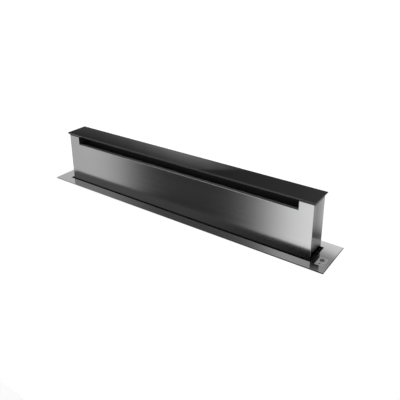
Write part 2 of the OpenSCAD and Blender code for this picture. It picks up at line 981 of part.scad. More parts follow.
// Channels for the shoes, open to the tower, fixed to the end plates
module guide_rails() {
    low_z = low_tail_z + shoe_inset - rail_end;
    high_z = flange_z - lip_h - rail_end / 2;
    inside_w = shoe_w + 2 * shoe_clear;
    start_x = end_x + rail_mouth;
    color("gray")
    at_both_ends()
    difference() {
        translate([start_x, -inside_w / 2 - rail_t, low_z])
            cube([in_x - start_x, inside_w + 2 * rail_t, high_z - low_z]);
        translate([start_x - cut, -inside_w / 2, low_z - cut])
            cube([in_x - rail_t - start_x + cut, inside_w, high_z - low_z + 2 * cut]);
    }
}

// Brackets under the worktop, two in front and two at the back
module at_clamps() {
    for (x = [-1, 1], y = [0, 180])
        rotate(y) translate([x * clamp_x, 0, 0]) children();
}

module clamp_brackets() {
    color("gainsboro")
    at_clamps()
    difference() {
        union() {
            translate([-clamp_w / 2, out_y, clamp_z]) cube([clamp_w, clamp_reach, bracket_t]);
            translate([-clamp_w / 2, out_y, clamp_z - clamp_leg])
                cube([clamp_w, bracket_t, clamp_leg + bracket_t]);
        }
        translate([0, clamp_jack_y, clamp_z - cut]) cylinder(r = jack_r, h = bracket_t + 2 * cut);
    }
}

// Jack screws with a pad that presses up against the worktop
module clamp_screws() {
    color("gray")
    at_clamps()
    translate([0, clamp_jack_y, 0]) {
        translate([0, 0, clamp_z - jack_tail])
            cylinder(r = jack_r, h = clamp_drop + jack_tail - jack_pad_t / 2);
        translate([0, 0, -worktop_t - jack_pad_t]) cylinder(r = jack_pad_r, h = jack_pad_t);
        translate([0, 0, clamp_z - jack_tail]) cylinder(r = 2 * jack_r, h = jack_r, $fn = 6);
    }
}

// Feet at the ends that screw to the cabinet's floor
module foot_brackets() {
    color("gainsboro")
    at_both_ends()
    difference() {
        union() {
            translate([out_x, -foot_w / 2, foot_z]) cube([bracket_t, foot_w, foot_leg]);
            translate([out_x, -foot_w / 2, foot_z]) cube([foot_reach, foot_w, bracket_t]);
        }
        for (y = [-1, 1])
            translate([out_x + foot_reach / 2, y * foot_hole_gap / 2, foot_z - cut])
                cylinder(r = foot_hole_r, h = bracket_t + 2 * cut);
        translate([out_x - cut, -foot_slot_w / 2, foot_z + foot_leg - foot_slot_l - foot_slot_w])
            cube([bracket_t + 2 * cut, foot_slot_w, foot_slot_l]);
    }
}

// Blower

// Scroll radius at an angle, grown by extra
function scroll_r(a, extra) =
    scroll_r0 + (scroll_r1 - scroll_r0) * (tongue_a - a) / (tongue_a - outlet_a) + extra;

// Outline of the scroll seen from the front, grown by extra, its outlet longer by reach
function scroll_points(extra, reach = 0) =
    let(start = 180 + asin((tongue_h - extra) / (scroll_r0 + extra)))
    concat(
        [
            for (i = [0 : scroll_steps])
                let(a = start + (outlet_a - start) * i / scroll_steps)
                polar(scroll_r(min(a, tongue_a), extra), a)
        ],
        [[-outlet_l - reach, -scroll_r1 - extra], [-outlet_l - reach, extra - tongue_h]]
    );

// Moves to the blower's axis on the chassis front, and draws towards the front
module at_blower() {
    translate([blower_x, -out_y, blower_z]) along_front() children();
}

module at_cover_screws() {
    for (a = cover_screw_as)
        translate(polar(scroll_r(a, (sheet_t + scroll_flange) / 2), a)) children();
}

module at_can_screws() {
    for (a = [45 : 90 : 315])
        translate(polar(can_bolt_r, a)) children();
}

module blower_housing() {
    color("gainsboro")
    at_blower() {
        linear_extrude(sheet_t)
        difference() {
            polygon(scroll_points(scroll_flange));
            circle(r = throat_r);
        }
        linear_extrude(scroll_w)
        difference() {
            polygon(scroll_points(sheet_t));
            polygon(scroll_points(0, cut));
        }
        translate([0, 0, scroll_w - sheet_t])
        linear_extrude(sheet_t)
        difference() {
            polygon(scroll_points(scroll_flange));
            polygon(scroll_points(0, cut));
            at_cover_screws() circle(r = screw_r);
        }
    }
}

module blower_cover() {
    color("gainsboro")
    at_blower()
    translate([0, 0, scroll_w])
    linear_extrude(sheet_t)
    difference() {
        polygon(scroll_points(scroll_flange));
        circle(r = can_r + can_gap);
        at_cover_screws() circle(r = screw_r);
        at_can_screws() circle(r = screw_r);
    }
}

// Bell mouth that leads the air into the impeller's eye
module inlet_ring() {
    start = sheet_t;
    end = sheet_t + throat_l;
    steps = 6;
    function arc(r, h) = [
        for (i = [0 : steps])
            [throat_r - r * sin(90 * i / steps), end - h * cos(90 * i / steps)]
    ];
    inner = arc(throat_lip, throat_l);
    outer = arc(throat_lip - throat_t, throat_l - throat_t);
    color("black")
    at_blower()
    rotate_extrude()
    polygon(concat(
        [[throat_r + ring_flange, start]],
        inner,
        [[throat_r - throat_lip, end + throat_nose], [throat_r - throat_lip + throat_t, end + throat_nose]],
        [for (i = [len(outer) - 1 : -1 : 0]) outer[i]],
        [[throat_r + ring_flange, start + throat_t]]
    ));
}

// Back plate of the impeller with its hub, and the ring round its eye
module impeller() {
    color("dimgray")
    at_blower()
    difference() {
        union() {
            translate([0, 0, fan_z]) linear_extrude(impeller_ring_t) difference() {
                circle(r = impeller_r);
                circle(r = eye_r);
            }
            translate([0, 0, fan_z + impeller_w - impeller_ring_t])
                cylinder(r = impeller_r, h = impeller_ring_t);
            translate([0, 0, fan_z + impeller_w - fan_hub_l]) cylinder(r = fan_hub_r, h = fan_hub_l);
        }
        translate([0, 0, fan_z + impeller_w - fan_hub_l - cut])
            cylinder(r = fan_shaft_r + hub_fit, h = fan_hub_l + 2 * cut);
    }
}

// One side of a blade that curves forward from the eye to the rim
function blade_side(side) = [
    for (i = [0 : blade_steps])
        let(
            s = (side > 0 ? i : blade_steps - i) / blade_steps,
            r = eye_r + blade_edge + (impeller_r - eye_r - 2 * blade_edge) * s
        )
        polar(r, -blade_sweep * s * s + side * blade_t / 2 / r * 180 / PI)
];

// Blades between the ring and the back plate, each a strip of its own
module impeller_blades() {
    color("dimgray")
    at_blower()
    translate([0, 0, fan_z + impeller_ring_t])
    linear_extrude(impeller_w - 2 * impeller_ring_t)
    for (i = [0 : blades - 1])
        rotate(i * 360 / blades) polygon(concat(blade_side(1), blade_side(-1)));
}

module impeller_shaft() {
    start = fan_z + impeller_w - fan_hub_l - fan_shaft_spare;
    color("lightsteelblue")
    at_blower() translate([0, 0, start]) cylinder(r = fan_shaft_r, h = can_z + fan_shaft_deep - start);
}

// Motor can through the cover, with a screwed flange and cooling slots
module blower_motor() {
    color("slategray")
    at_blower()
    difference() {
        union() {
            translate([0, 0, can_z]) cylinder(r = can_r, h = can_in + can_out);
            translate([0, 0, scroll_w + sheet_t]) cylinder(r = can_flange_r, h = can_flange_t);
        }
        translate([0, 0, can_z - cut]) cylinder(r = fan_shaft_r + run_fit, h = fan_shaft_deep + 2 * cut);
        at_can_screws() translate([0, 0, scroll_w]) cylinder(r = screw_r, h = sheet_t + can_flange_t + cut);
        translate([0, can_r + cut, scroll_w + blower_lead_out]) along_front()
            cylinder(r = lead_r + seat_gap, h = blower_lead_seat + cut);
        for (i = [0 : can_slots - 1])
            rotate(i * 360 / can_slots)
            translate([can_slot_r - can_slot_l / 2, -can_slot_w / 2, scroll_w + can_out - can_slot_deep])
                cube([can_slot_l, can_slot_w, can_slot_deep + cut]);
    }
}

// Sheet-metal piece from the scroll's square outlet to the round collar
module transition_hull(grow) {
    hull() {
        translate([
            transition_x - (grow > 0 ? sheet_t / 2 : 0),
            -out_y - scroll_w - grow,
            blower_z - scroll_r1 - grow
        ])
        cube([
            (grow > 0 ? sheet_t / 2 : cut),
            scroll_w - sheet_t + 2 * grow,
            scroll_r1 - tongue_h + 2 * grow
        ]);
        translate([collar_x - (grow > 0 ? 0 : cut), duct_y, duct_z]) along_x()
            cylinder(r = duct_r - duct_t + grow, h = (grow > 0 ? sheet_t / 2 : cut), $fn = hull_fn);
    }
}

module outlet_transition() {
    color("gainsboro")
    difference() {
        union() {
            transition_hull(sheet_t);
            translate([collar_x, duct_y, duct_z]) along_x()
                cylinder(r = duct_r + collar_flange_w, h = collar_flange_t);
        }
        transition_hull(0);
    }
}

// Round collar for the duct: a flange, a stop bead and a plain end
module duct_collar() {
    color("gainsboro")
    translate([collar_x, duct_y, duct_z]) along_x() mirror([0, 0, 1])
    difference() {
        union() {
            cylinder(r = duct_r, h = collar_l);
            cylinder(r = duct_r + collar_flange_w, h = collar_flange_t);
            translate([0, 0, bead_at]) rotate_extrude()
                translate([duct_r, 0]) circle(r = collar_bead, $fn = hull_fn);
        }
        translate([0, 0, -cut]) cylinder(r = duct_r - duct_t, h = collar_l + 2 * cut);
        translate([0, 0, damper_back]) rotate([-90, 0, 0])
            translate([0, 0, -2 * duct_r]) cylinder(r = damper_pin_r, h = 4 * duct_r);
    }
}

module damper_pin() {
    pin_half = duct_r;
    color("lightsteelblue")
    translate([damper_x, duct_y, duct_z - pin_half]) cylinder(r = damper_pin_r, h = 2 * pin_half);
}

// Half disc with its knuckles; turn is 0 for the rear flap and 1 for the front one
module damper_flap(turn) {
    low = -knuckle_pairs * knuckle_step;
    translate([damper_x, duct_y, duct_z])
    mirror([0, turn, 0])
    difference() {
        union() {
            intersection() {
                translate([flap_t / 2, 0, 0]) rotate([0, -90, 0]) cylinder(r = flap_r, h = flap_t);
                translate([-flap_t, flap_start, -flap_r]) cube([2 * flap_t, flap_r, 2 * flap_r]);
            }
            for (i = [turn : 2 : 2 * knuckle_pairs - 1])
                translate([0, 0, low + i * knuckle_step + knuckle_gap / 2]) {
                    cylinder(r = knuckle_r, h = knuckle_l);
                    translate([-flap_t / 2, 0, 0]) cube([flap_t, flap_start + flap_t, knuckle_l]);
                }
        }
        translate([0, 0, -flap_r]) cylinder(r = damper_pin_r + damper_run, h = 2 * flap_r);
    }
}

module damper_flap_rear() {
    color("silver") damper_flap(0);
}

module damper_flap_front() {
    color("silver") damper_flap(1);
}

// Controls

// Thin plate bonded to the flange, embossed round the power button
module control_plate() {
    color("whitesmoke")
    difference() {
        translate([plate_x, plate_y, 0]) {
            slab(plate_l, plate_w, plate_t, top_z);
            translate([power_at[0], power_at[1], top_z])
                cylinder(r = power_r + bezel_w, h = plate_t + bezel_h);
        }
        button_holes(button_gap, plate_z + bezel_h + cut, top_z - cut);
    }
}

// Round push button with a collar under the flange and a guide stem
module button(r, at) {
    collar_z = flange_z - seat_gap - button_collar_t;
    translate([plate_x + at[0], plate_y + at[1], 0]) {
        translate([0, 0, collar_z]) cylinder(r = r, h = plate_z + button_proud - collar_z);
        translate([0, 0, collar_z]) cylinder(r = r + button_collar, h = button_collar_t);
        translate([0, 0, collar_z - button_stem_l])
            cylinder(r = button_stem_r, h = button_stem_l + button_collar_t);
    }
}

module power_button() {
    color([0.15, 0.15, 0.16]) button(power_r, power_at);
}

module speed_button() {
    color("silver") button(speed_r, speed_at);
}

module indicator_lens() {
    color([0.1, 0.1, 0.12])
    translate([plate_x + lens_at[0], plate_y + lens_at[1], flange_z - button_collar_t]) {
        cylinder(r = lens_r, h = plate_z + lens_proud - flange_z + button_collar_t);
        cylinder(r = lens_r + button_collar / 2, h = button_collar_t);
    }
}

// Moulded block under the flange that guides the buttons
module switch_module() {
    pocket_z = flange_z - seat_gap - button_collar_t - button_travel - seat_gap;
    collar = button_collar + button_gap;
    color("black")
    difference() {
        translate([plate_x, plate_y, 0]) slab(switch_l, switch_w, switch_h, flange_z - switch_h);
        translate([plate_x, plate_y, pocket_z]) {
            translate(power_at) cylinder(r = power_r + collar, h = flange_z - pocket_z + cut);
            translate(speed_at) cylinder(r = speed_r + collar, h = flange_z - pocket_z + cut);
        }
        translate([plate_x + lens_at[0], plate_y + lens_at[1], flange_z - button_collar_t])
            cylinder(r = lens_r + collar, h = button_collar_t + cut);
        for (at = [power_at, speed_at])
            translate([plate_x + at[0], plate_y + at[1], pocket_z - button_stem_l + seat_gap])
                cylinder(r = button_stem_r + run_fit, h = button_stem_l + cut);
    }
}

// Open box for the electronics, with a post in each corner
module control_box() {
    color("dimgray")
    difference() {
        union() {
            difference() {
                translate([box_x, -out_y - control_box_d, gland_out])
                    cube([control_box_l, control_box_d, control_box_h]);
                translate([box_x + box_wall, -out_y - control_box_d - cut, gland_out + box_wall])
                    cube([
                        control_box_l - 2 * box_wall,
                        control_box_d - box_wall + cut,
                        control_box_h - 2 * box_wall
                    ]);
            }
            at_lid_screws() translate([0, 0, -control_box_d - box_lid_t + box_wall / 2])
                cylinder(r = box_post_r, h = control_box_d - box_wall / 2);
        }
        at_lid_screws() translate([0, 0, -box_lid_t - 4 * screw_tail])
            cylinder(r = screw_r, h = 4 * screw_tail + cut);
        translate([box_x + control_box_l - gland_inset, -out_y - control_box_d / 2, gland_out - cut])
            cylinder(r = gland_thread_r, h = box_wall + 2 * cut);
        lift_lead_hole();
    }
}

module control_box_lid() {
    color("dimgray")
    difference() {
        translate([box_x, -out_y - control_box_d - box_lid_t, gland_out])
            cube([control_box_l, box_lid_t, control_box_h]);
        at_lid_screws() translate([0, 0, -box_lid_t - cut]) cylinder(r = screw_r, h = box_lid_t + 2 * cut);
    }
}

// Circuit board on four stands, with its transformer, relays, capacitor and terminals
module control_board() {
    board_l = control_box_l - 2 * (box_wall + board_margin + box_post_r);
    board_h = control_box_h - 2 * (box_wall + board_margin + box_post_r);
    x0 = box_x + (control_box_l - board_l) / 2;
    z0 = gland_out + (control_box_h - board_h) / 2;
    back = -out_y - box_wall;
    face = back - board_stand - board_t;
    sizes = [transformer_size, relay_size, relay_size, relay_size];
    color("darkgreen") {
        translate([x0, face, z0]) cube([board_l, board_t, board_h]);
        for (x = [2 * stand_r, board_l - 2 * stand_r], z = [2 * stand_r, board_h - 2 * stand_r])
            translate([x0 + x, back, z0 + z]) along_front()
                cylinder(r = stand_r, h = board_stand + board_t / 2);
        for (i = [0 : len(sizes) - 1])
            translate([
                x0 + board_parts_shares[i][0] * board_l - sizes[i][0] / 2,
                face - sizes[i][1],
                z0 + board_parts_shares[i][1] * board_h - sizes[i][2] / 2
            ])
            cube([sizes[i][0], sizes[i][1] + board_t / 2, sizes[i][2]]);
        translate([
            x0 + (board_l - capacitor_l) / 2,
            face - capacitor_r + board_t / 2,
            z0 + capacitor_share * board_h
        ])
            along_x() cylinder(r = capacitor_r, h = capacitor_l);
        translate([x0 + (board_l - terminal_size[0]) / 2, face - terminal_size[1], z0 + board_t])
            cube([terminal_size[0], terminal_size[1] + board_t / 2, terminal_size[2]]);
    }
}

// Gland for the mains lead, in the floor of the control box
module cable_gland() {
    outside = gland_hex_t + gland_body_l;
    color("black")
    translate([box_x + control_box_l - gland_inset, -out_y - control_box_d / 2, gland_out])
    difference() {
        union() {
            translate([0, 0, -gland_hex_t]) cylinder(r = gland_nut_r, h = gland_hex_t, $fn = 6);
            translate([0, 0, -outside]) cylinder(r = gland_thread_r + sheet_t, h = outside);
            cylinder(r = gland_thread_r, h = box_wall + gland_nut_t);
            translate([0, 0, box_wall]) cylinder(r = gland_nut_r, h = gland_nut_t, $fn = 6);
        }
        translate([0, 0, -outside - cut])
            cylinder(r = gland_bore_r, h = outside + box_wall + gland_nut_t + 2 * cut);
    }
}

// Round lead that turns square corners with a fixed bend
module lead(points, r, bend) {
    last = len(points) - 1;
    way = [for (i = [0 : last - 1]) (points[i + 1] - points[i]) / norm(points[i + 1] - points[i])];
    for (i = [0 : last - 1]) {
        start = points[i] + (i > 0 ? bend : 0) * way[i];
        end = points[i + 1] - (i < last - 1 ? bend : 0) * way[i];
        turn = abs(way[i].z) < 0.5 ? cross([0, 0, 1], way[i]) : [0, 1, 0];
        side = cross(way[i], turn);
        multmatrix([for (k = [0 : 2]) [turn[k], side[k], way[i][k], start[k]]])
            cylinder(r = r, h = norm(end - start));
    }
    for (i = [1 : last - 1]) {
        hub = points[i] - bend * way[i - 1] + bend * way[i];
        axis = cross(-way[i], way[i - 1]);
        multmatrix([for (k = [0 : 2]) [-way[i][k], way[i - 1][k], axis[k], hub[k]]])
            rotate_extrude(angle = 90) translate([bend, 0]) circle(r = r);
    }
}

// Leads from the control box to the buttons, the blower and the lift motor
module wiring() {
    motor_end = mount_x - gearbox_l - lift_motor_l;
    lead_start_z = round(motor_z + (lift_motor_cap_r + lift_motor_r) / 2);
    terminal_z = gland_out + box_wall + board_margin + box_post_r + board_t;
    color("black") {
        lead([
            [plate_x, plate_y, flange_z - switch_h],
            [plate_x, plate_y, switch_lead_z],
            [plate_x, lead_y, switch_lead_z],
            [box_x + control_box_l, lead_y, switch_lead_z]
        ], lead_r, lead_bend);
        lead([
            [blower_x, blower_lead_y, blower_z + can_r - blower_lead_seat],
            [blower_x, blower_lead_y, blower_lead_z],
            [blower_lead_x, blower_lead_y, blower_lead_z],
            [blower_lead_x, lead_y, blower_lead_z],
            [box_x, lead_y, blower_lead_z]
        ], lead_r, lead_bend);
        lead([
            [motor_end, motor_y, lead_start_z],
            [lift_lead_x, motor_y, lead_start_z],
            [lift_lead_x, motor_y, lift_lead_z],
            [lift_lead_x, lift_lead_y, lift_lead_z],
            [lift_lead_x, lift_lead_y, terminal_z]
        ], lift_lead_r, lift_lead_bend);
    }
}

counter_flange();
flange_gasket();
cap_seat();
front_panel();
rear_panel();
end_panel_left();
end_panel_right();
glass_cap();
cap_tray();
intake_channel();
grease_filter_left();
grease_filter_right();
tower_base_frame();
tower_rivets();
guide_shoes();
rack_left();
rack_right();
chassis_front();
chassis_back();
chassis_end_left();
chassis_end_right();
chassis_base();
housing_screws();
guide_rails();
clamp_brackets();
clamp_screws();
foot_brackets();
drive_shaft();
shaft_bearings();
rack_pinion_left();
rack_pinion_right();
driven_gear();
motor_gear();
gearbox_shaft();
lift_gearbox();
lift_motor();
motor_bracket();
position_sensors();
blower_housing();
blower_cover();
inlet_ring();
impeller();
impeller_blades();
impeller_shaft();
blower_motor();
outlet_transition();
duct_collar();
damper_pin();
damper_flap_front();
damper_flap_rear();
control_plate();
power_button();
speed_button();
indicator_lens();
switch_module();
control_box();
control_box_lid();
control_board();
cable_gland();
wiring();
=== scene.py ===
import math

import bpy
from mathutils import Matrix, Vector


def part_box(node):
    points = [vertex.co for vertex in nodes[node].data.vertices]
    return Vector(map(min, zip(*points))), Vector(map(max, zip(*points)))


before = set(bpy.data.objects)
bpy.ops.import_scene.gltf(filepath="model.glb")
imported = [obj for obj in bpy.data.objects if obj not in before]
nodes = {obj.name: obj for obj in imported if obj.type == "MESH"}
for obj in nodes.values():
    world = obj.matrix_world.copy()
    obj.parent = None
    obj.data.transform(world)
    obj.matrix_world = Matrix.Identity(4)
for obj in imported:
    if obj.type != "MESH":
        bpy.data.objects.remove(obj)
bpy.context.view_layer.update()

scene = bpy.context.scene
scene.view_settings.view_transform = "Standard"

# Camera. It stands in front of the right-hand end and above the cap, at the
# place, turn and lens that were fitted to the edges of the vent in the photo.
camera_at = Vector((0.78137, -1.00235, 0.68989))
camera_turn = 35.434
camera_dip = 20.858
camera_roll = -0.369
camera_data = bpy.data.cameras.new("camera")
camera = bpy.data.objects.new("camera", camera_data)
scene.collection.objects.link(camera)
scene.camera = camera
camera_data.sensor_width = 36.0
camera_data.lens = 45.739
camera_data.shift_y = -0.15
camera_data.clip_start = 0.05
camera_data.clip_end = 60.0
camera.matrix_world = (
    Matrix.Translation(camera_at)
    @ Matrix.Rotation(math.radians(camera_turn), 4, "Z")
    @ Matrix.Rotation(math.radians(90.0 - camera_dip), 4, "X")
    @ Matrix.Rotation(math.radians(camera_roll), 4, "Z")
)

# Studio round the vent. A white tent lights it evenly. Polished and brushed
# metal mirrors the tent, so its dark flags and its bright panels are drawn by
# direction, in degrees: how high, how far left of the back or of the front.
world = bpy.data.worlds.new("studio")
scene.world = world
world.use_nodes = True
sky = world.node_tree
sky.nodes.clear()
white = (1.0, 1.0, 1.0, 1.0)


def feed(tree, socket, value):
    """Sets an input, or links it where the value is another node's output."""
    if isinstance(value, bpy.types.NodeSocket):
        tree.links.new(value, socket)
    else:
        socket.default_value = value


def put(tree, kind, values=(), **settings):
    """Adds a node, sets its fields, and feeds its inputs in order, past each None."""
    made = tree.nodes.new(kind)
    for field, setting in settings.items():
        setattr(made, field, setting)
    for place, value in enumerate(values):
        if value is not None:
            feed(tree, made.inputs[place], value)
    return made


def do(tree, operation, *values, clamp=False):
    """One Math node; the result socket is returned."""
    return put(tree, "ShaderNodeMath", values, operation=operation, use_clamp=clamp).outputs[0]


def mix(tree, share, first, second):
    """Blends two levels: first where the share is 0, second where it is 1."""
    return put(tree, "ShaderNodeMix", (share, None, first, second), data_type="FLOAT").outputs[0]


def apart(tree, vector):
    """The x, y and z of a vector."""
    return put(tree, "ShaderNodeSeparateXYZ", (vector,)).outputs


def table(tree, value, points):
    """Looks a value up in (position, level) points, smoothly between them."""
    low, high = points[0][0], points[-1][0]
    place = do(tree, "DIVIDE", do(tree, "SUBTRACT", value, low), high - low, clamp=True)
    ramp = put(tree, "ShaderNodeValToRGB", (place,))
    ramp.color_ramp.interpolation = "EASE"
    stops = ramp.color_ramp.elements
    stops.remove(stops[1])
    stops[0].position = 0.0
    for position, level in points:
        share = (position - low) / (high - low)
        stop = stops[0] if share == 0.0 else stops.new(share)
        stop.color = (level, level, level, 1.0)
    return ramp.outputs[0]


way_x, way_y, way_z = apart(sky, put(sky, "ShaderNodeTexCoord").outputs["Generated"])
to_left = do(sky, "MULTIPLY", way_x, -1.0)
to_front = do(sky, "MULTIPLY", way_y, -1.0)
degrees = 180.0 / math.pi
height = do(sky, "MULTIPLY", do(sky, "ARCSINE", way_z), degrees)
left_of_back = do(sky, "MULTIPLY", do(sky, "ARCTAN2", to_left, way_y), degrees)
left_of_front = do(sky, "MULTIPLY", do(sky, "ARCTAN2", to_left, to_front), degrees)

# What the front panel sees below it: bright to the right, a dark flag in the
# middle. The flag stands low, and nearer to level the front is open and pale.
front_wall = table(sky, left_of_front, [
    (-60.0, 0.55), (0.0, 0.95), (20.0, 1.08), (22.7, 1.0), (24.0, 0.87), (25.4, 0.68),
    (27.0, 0.42), (28.5, 0.22), (30.0, 0.1), (32.5, 0.04), (35.0, 0.035), (40.0, 0.035),
    (42.0, 0.05), (43.5, 0.16), (45.0, 0.38), (46.5, 0.55), (48.5, 0.64), (51.0, 0.56),
    (60.0, 0.5), (100.0, 0.6),
])
front_open = 0.78
flag_top = table(sky, height, [(-90.0, 1.0), (-14.5, 1.0), (-9.0, 0.0), (0.0, 0.0)])
front_low = mix(sky, flag_top, front_open, front_wall)

# What the flange sees mirrored in the front panel: the same flag, fainter, and
# a pale ceiling that comes in from 36 degrees.
front_over = table(sky, left_of_front, [
    (-60.0, 0.5), (0.0, 0.7), (20.0, 0.56), (22.9, 0.56), (24.6, 0.7), (27.0, 0.38), (28.5, 0.2),
    (30.0, 0.12), (32.5, 0.09), (40.0, 0.1), (42.0, 0.12), (43.5, 0.18), (45.5, 0.29),
    (47.0, 0.35), (49.0, 0.37), (60.0, 0.45), (100.0, 0.5),
])
over_rise = table(sky, height, [
    (0.0, 1.4), (14.0, 1.1), (24.0, 1.0), (40.0, 1.0), (65.0, 1.5), (90.0, 1.6),
])
ceiling = table(sky, height, [(0.0, 0.0), (36.0, 0.0), (42.0, 0.8), (90.0, 0.8)])
front_high = do(sky, "MAXIMUM", do(sky, "MULTIPLY", front_over, over_rise), ceiling)

# What the right-hand end sees: a grey wall behind it that darkens downwards,
# with a dark line low on it.
back_wall = table(sky, left_of_back, [
    (-34.0, 0.55), (-22.2, 0.42), (-21.2, 0.36), (-20.6, 0.4), (-20.2, 0.56), (-19.6, 0.62),
    (-12.0, 0.55),
])
wall_foot = table(sky, height, [
    (-42.0, 0.5), (-33.0, 0.35), (-31.9, 0.44), (-31.35, 0.53), (-31.15, 0.42), (-30.95, 0.25),
    (-30.7, 0.24), (-30.45, 0.4), (-30.2, 0.57), (-29.9, 0.74), (-29.5, 0.9), (-29.0, 1.0),
    (-28.2, 1.05), (-20.0, 1.1),
])
back_low = do(sky, "MULTIPLY", back_wall, wall_foot)


def leaning(slope):
    """Height that counts up towards the left, for panels whose edges lean."""
    return do(sky, "ADD", height, do(sky, "MULTIPLY", left_of_back, slope))


# What the cap sees: a panel low at the back, cut off by a slanting edge, that
# fades to the left and upwards; right of its edge a flag, black at one corner.
rise = leaning(slope=0.3)
panel_left = table(sky, left_of_back, [
    (-20.0, 0.9), (31.0, 0.2), (33.0, 0.42), (35.0, 0.68), (37.5, 0.84), (38.6, 0.8),
    (40.7, 0.62), (42.6, 0.46), (44.4, 0.32), (46.0, 0.25), (47.5, 0.2), (50.0, 0.18),
    (60.0, 0.3), (80.0, 0.6),
])
panel_up = table(sky, rise, [
    (24.0, 0.8), (32.0, 1.0), (33.6, 1.0), (34.2, 0.62), (34.7, 0.33), (35.5, 0.2), (40.0, 0.2),
])
panel = do(sky, "MULTIPLY", panel_left, panel_up)
cap_flag = table(sky, left_of_back, [
    (-60.0, 0.6), (-26.0, 0.5), (-14.0, 0.4), (8.0, 0.4), (20.5, 0.19), (24.0, 0.13),
    (30.0, 0.08), (33.0, 0.05), (60.0, 0.05),
])
corner = table(sky, left_of_back, [
    (-60.0, 0.0), (-27.0, 0.0), (-23.5, 1.0), (-17.0, 1.0), (-12.0, 0.0), (0.0, 0.0),
])
corner_up = table(sky, height, [
    (20.0, 0.5), (32.1, 0.44), (32.5, 0.15), (32.8, 0.0), (33.8, 0.0), (34.0, 0.04), (34.2, 0.14),
    (34.4, 0.28), (34.8, 0.45), (50.0, 0.5),
])
edge_left = 31.9
edge_rise = 33.75
edge_slope = 3.3
past_rise = do(sky, "SUBTRACT", rise, edge_rise)
panel_edge = do(sky, "ADD", edge_left, do(sky, "MULTIPLY", past_rise, edge_slope))
past_edge = do(sky, "LESS_THAN", left_of_back, panel_edge)
cap_view = mix(sky, past_edge, panel, mix(sky, corner, cap_flag, corner_up))

# What the flange sees: above the cap's view a second panel, then a flag, and
# open white over the top. Far to the left the panel hangs in front of the flag.
climb = leaning(slope=0.25)
over = table(sky, climb, [
    (30.0, 0.0), (33.1, 0.0), (34.3, 0.9), (36.0, 0.92), (36.4, 0.87), (36.7, 0.82), (37.0, 0.67),
    (37.2, 0.51), (37.4, 0.4), (37.65, 0.3), (37.9, 0.28), (38.3, 0.33), (39.3, 0.37),
    (48.0, 0.38), (66.0, 1.0), (90.0, 1.0),
])
over_left = table(sky, left_of_back, [(0.0, 1.0), (20.0, 1.0), (50.0, 0.72), (70.0, 0.9)])
top_height = 40.0
over_top = do(sky, "GREATER_THAN", height, top_height)
far_left = table(sky, left_of_back, [
    (0.0, 0.0), (49.6, 0.0), (50.6, 0.61), (60.0, 0.61), (75.0, 0.0), (90.0, 0.0),
])
flange_view = do(sky, "MULTIPLY", over, do(sky, "MAXIMUM", over_left, over_top))
flange_view = do(sky, "MAXIMUM", flange_view, far_left)
above_cap = table(sky, climb, [(30.0, 0.0), (33.1, 0.0), (34.0, 1.0), (40.0, 1.0)])
back_high = mix(sky, above_cap, cap_view, flange_view)

facing_back = do(sky, "GREATER_THAN", way_y, 0.0)
low_side = mix(sky, facing_back, front_low, back_low)
high_side = mix(sky, facing_back, front_high, back_high)
mirrored = mix(sky, do(sky, "GREATER_THAN", height, 0.0), low_side, high_side)
glossy_ray = put(sky, "ShaderNodeLightPath").outputs["Is Glossy Ray"]
tent = put(sky, "ShaderNodeBackground", (white, 1.0))
seen = put(sky, "ShaderNodeBackground", (white, mirrored))
both = put(sky, "ShaderNodeMixShader", (glossy_ray, tent.outputs[0], seen.outputs[0]))
put(sky, "ShaderNodeOutputWorld", (both.outputs[0],))


# Floor. A white floor under the feet that fades into the white background
# and keeps the vent's shadow.
def stage_piece(name, corners, faces, material):
    """A stage piece from its corners and faces."""
    data = bpy.data.meshes.new(name)
    data.from_pydata(corners, [], faces)
    data.update()
    data.materials.append(material)
    made = bpy.data.objects.new(name, data)
    scene.collection.objects.link(made)
    return made


def level_sheet(name, low_x, high_x, low_y, high_y, z, material):
    """A level rectangle of the stage."""
    corners = [(low_x, low_y, z), (high_x, low_y, z), (high_x, high_y, z), (low_x, high_y, z)]
    return stage_piece(name, corners, [(0, 1, 2, 3)], material)


def hide_from(piece, *rays):
    """Takes a stage piece out of the named kinds of rays."""
    for ray in rays:
        setattr(piece, "visible_" + ray, False)


def empty(name):
    """A new material with an empty node tree."""
    made = bpy.data.materials.new(name)
    made.use_nodes = True
    made.node_tree.nodes.clear()
    return made, made.node_tree


floor_half = 20.0
floor_glow = 0.14
floor_colour = (0.92, 0.92, 0.92, 1.0)
floor_white, tree = empty("floor_white")
matt = put(tree, "ShaderNodeBsdfDiffuse", (floor_colour,))
glow = put(tree, "ShaderNodeEmission", (white, floor_glow))
lit = put(tree, "ShaderNodeAddShader", (matt.outputs[0], glow.outputs[0]))
put(tree, "ShaderNodeOutputMaterial", (lit.outputs[0],))
floor_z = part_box("foot_brackets")[0].z
floor = level_sheet("floor", -floor_half, floor_half, -floor_half, floor_half, floor_z, floor_white)
hide_from(floor, "glossy")


# Worktop. The photo shows the vent let into a plain white surface, with a thin dark line under the
# flange. A small white card just before the lens stands for it, so that the other views keep sight of
# everything below the flange. A dark strip on a second card there is a painted shadow under the
# flange's edge.
def on_piece(tree):
    """The place on a piece itself, in metres, which rides with the piece."""
    return put(tree, "ShaderNodeTexCoord").outputs["Object"]


def flat_glow(name, levels=None):
    """A surface that glows whatever lights it: white, or by its own x."""
    made, tree = empty(name)
    level = table(tree, apart(tree, on_piece(tree))[0], levels) if levels else 1.0
    glow = put(tree, "ShaderNodeEmission", (white, level))
    put(tree, "ShaderNodeOutputMaterial", (glow.outputs[0],))
    return made


card_share = 0.1


def near_lens(points):
    """The same points drawn towards the lens, where they cover the same view."""
    return [camera_at + card_share * (Vector(point) - camera_at) for point in points]
